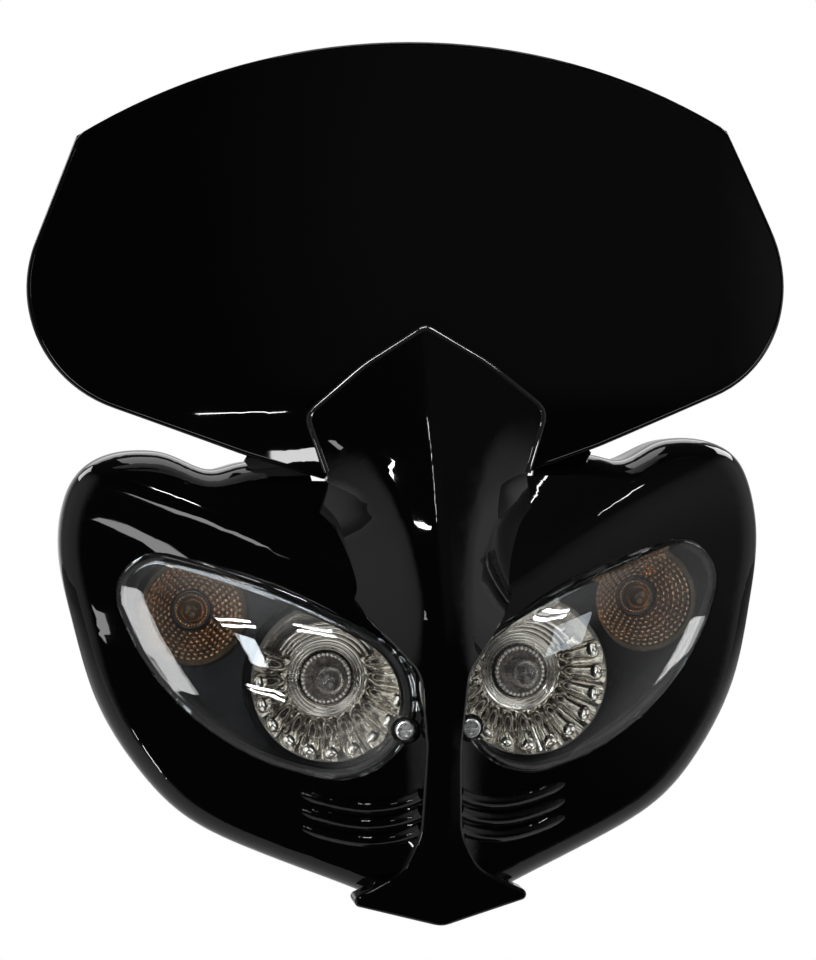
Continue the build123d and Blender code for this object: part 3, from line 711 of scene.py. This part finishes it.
def soft_glow(azimuth, height, inner, outer, strength):
    """A soft patch of the room's light: full within inner degrees of a direction, gone past outer."""
    closeness = new_node(sky, "ShaderNodeVectorMath")
    closeness.operation = "DOT_PRODUCT"
    closeness.inputs[1].default_value = direction(azimuth, height)
    sky.links.new(sky_place.outputs["Generated"], closeness.inputs[0])
    edge_low, edge_high = math.cos(math.radians(outer)), math.cos(math.radians(inner))
    fade = new_node(sky, "ShaderNodeMapRange", From_Min=edge_low, From_Max=edge_high, To_Max=strength)
    fade.interpolation_type = "SMOOTHSTEP"
    sky.links.new(closeness.outputs["Value"], fade.inputs["Value"])
    return fade.outputs["Result"]


def joined(operation, first, second):
    """The sum or product of a socket and a socket or number."""
    both = new_node(sky, "ShaderNodeMath")
    both.operation = operation
    sky.links.new(first, both.inputs[0])
    if isinstance(second, float):
        both.inputs[1].default_value = second
    else:
        sky.links.new(second, both.inputs[1])
    return both.outputs["Value"]


def sum_of(level, glows):
    """A plain level with soft patches on it."""
    total = level
    for glow in glows:
        total = joined("ADD", glow, total)
    return total


room_glows = [
    soft_glow(azimuth=180, height=0, inner=15, outer=65, strength=0.6),
    soft_glow(azimuth=-100, height=-40, inner=10, outer=40, strength=0.8),
    soft_glow(azimuth=100, height=-40, inner=10, outer=40, strength=0.4),
    soft_glow(azimuth=25, height=25, inner=5, outer=45, strength=0.05),
    soft_glow(azimuth=-90, height=5, inner=10, outer=45, strength=0.35),
    soft_glow(azimuth=90, height=5, inner=10, outer=45, strength=0.35),
]
inside_glows = [
    soft_glow(azimuth=-35, height=32, inner=5, outer=32, strength=1.3),
    soft_glow(azimuth=38, height=30, inner=5, outer=30, strength=1.0),
    soft_glow(azimuth=0, height=-36, inner=5, outer=32, strength=1.3),
]
inside = joined("MULTIPLY", sum_of(inside_level, inside_glows), ray_kind.outputs["Is Transmission Ray"])
room = new_node(sky, "ShaderNodeBackground", Color=(*white, 1))
sky.links.new(sum_of(room_level, [*room_glows, inside]), room.inputs["Strength"])
paper = new_node(sky, "ShaderNodeBackground", Color=(*white, 1))
backdrop = new_node(sky, "ShaderNodeMixShader")
sky.links.new(ray_kind.outputs["Is Camera Ray"], backdrop.inputs["Fac"])
sky.links.new(room.outputs["Background"], backdrop.inputs[1])
sky.links.new(paper.outputs["Background"], backdrop.inputs[2])
sky_end = new_node(sky, "ShaderNodeOutputWorld")
sky.links.new(backdrop.outputs["Shader"], sky_end.inputs["Surface"])


# Floor: pale paper, plain white to the camera


floor_drop = 0.3
floor_front = -0.3
floor_reach = 6.0


def floor_paper():
    """Pale paper that glows white for the camera alone."""
    look = Shader("floor_paper")
    look.drive("Base Color", look.colours(look.noise(scale=3), (0.85, 0.85, 0.85), (0.9, 0.9, 0.9)))
    look.set(Roughness=0.9)
    glow = look.node("ShaderNodeEmission", Strength=1.0)
    seen = look.node("ShaderNodeLightPath")
    blend = look.node("ShaderNodeMixShader")
    look.link(seen.outputs["Is Camera Ray"], blend.inputs["Fac"])
    look.link(look.shader.outputs["BSDF"], blend.inputs[1])
    look.link(glow.outputs["Emission"], blend.inputs[2])
    look.link(blend.outputs["Shader"], look.tree.nodes["Material Output"].inputs["Surface"])
    return look.material


floor_z = cad_box[0].z - floor_drop
floor_corners = [
    (-floor_reach, floor_front, floor_z),
    (floor_reach, floor_front, floor_z),
    (floor_reach, floor_reach, floor_z),
    (-floor_reach, floor_reach, floor_z),
]
floor_mesh = bpy.data.meshes.new("floor")
floor_mesh.from_pydata(floor_corners, [], [(0, 1, 2, 3)])
floor_mesh.materials.append(floor_paper())
floor = bpy.data.objects.new("floor", floor_mesh)
scene.collection.objects.link(floor)


# Camera


camera_target = Vector((0, -0.03, 0.075))
camera_azimuth = -7.5
camera_roll = -1.4
camera_distance = 1.1
camera_way = direction(camera_azimuth, 0)
camera_data = bpy.data.cameras.new("camera")
camera_data.sensor_width = 36
camera_data.lens = 101.5
camera_data.clip_start, camera_data.clip_end = 0.01, 50
camera = bpy.data.objects.new("camera", camera_data)
scene.collection.objects.link(camera)
scene.camera = camera
camera.location = camera_target + camera_way * camera_distance
camera.rotation_mode = "QUATERNION"
roll = Matrix.Rotation(math.radians(camera_roll), 3, "Z").to_quaternion()
camera.rotation_quaternion = (-camera_way).to_track_quat("-Z", "Y") @ roll
